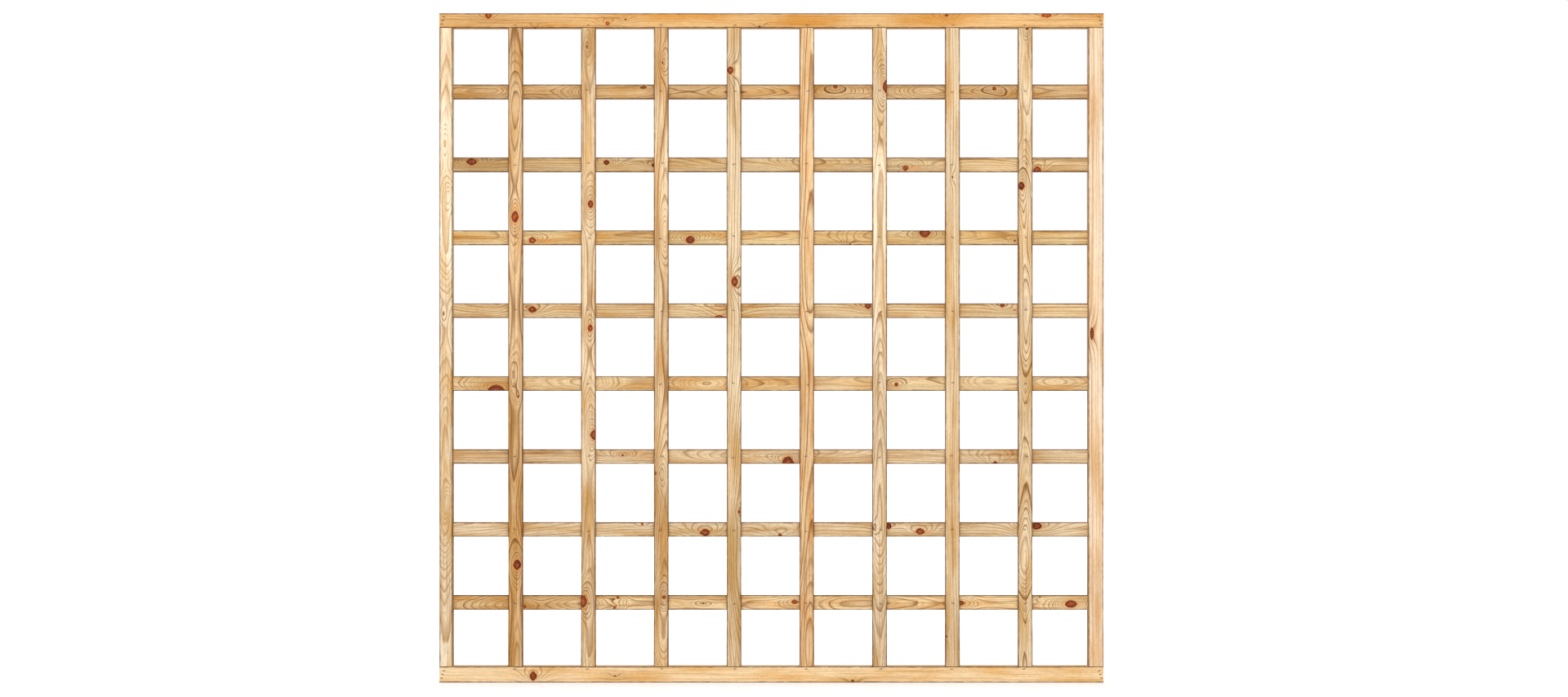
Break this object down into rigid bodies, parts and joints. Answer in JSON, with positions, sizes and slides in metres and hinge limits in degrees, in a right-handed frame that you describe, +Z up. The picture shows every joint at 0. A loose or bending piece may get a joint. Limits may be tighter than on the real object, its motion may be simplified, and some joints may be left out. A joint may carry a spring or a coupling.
{
  "type": "wooden plant trellis panel",
  "caption": "Square wooden garden trellis panel: halved softwood frame around crossing upright and level slats fixed with wire staples, for carrying climbing plants.",
  "frame": {"origin": "middle of the foot of the bottom rail, halfway through the panel's depth", "axes": "+Z up, +X across the width to the right as seen from the front, +Y from the front to the back"},
  "size_m": [1.815, 0.038, 1.83],
  "materials": {
    "golden_pine": "planed, unvarnished",
    "pale_pine": "planed, unvarnished",
    "pink_pine": "planed, unvarnished",
    "upright_pine": "planed, unvarnished",
    "level_pine": "planed, unvarnished",
    "staple_wire": "galvanised, dull"
  },
  "bodies": {
    "root": {"top_rail": "golden_pine", "bottom_rail": "pale_pine", "left_stile": "pale_pine", "right_stile": "pink_pine", "vertical_slat_1": "upright_pine", "vertical_slat_2": "upright_pine", "vertical_slat_3": "upright_pine", "vertical_slat_4": "upright_pine", "vertical_slat_5": "upright_pine", "vertical_slat_6": "upright_pine", "vertical_slat_7": "upright_pine", "vertical_slat_8": "upright_pine", "horizontal_slat_1": "level_pine", "horizontal_slat_2": "level_pine", "horizontal_slat_3": "level_pine", "horizontal_slat_4": "level_pine", "horizontal_slat_5": "level_pine", "horizontal_slat_6": "level_pine", "horizontal_slat_7": "level_pine", "horizontal_slat_8": "level_pine", "crossing_staples": "staple_wire", "top_rail_staples": "staple_wire", "bottom_rail_staples": "staple_wire", "left_stile_staples": "staple_wire", "right_stile_staples": "staple_wire", "corner_staples": "staple_wire"}
  },
  "joints": []
}
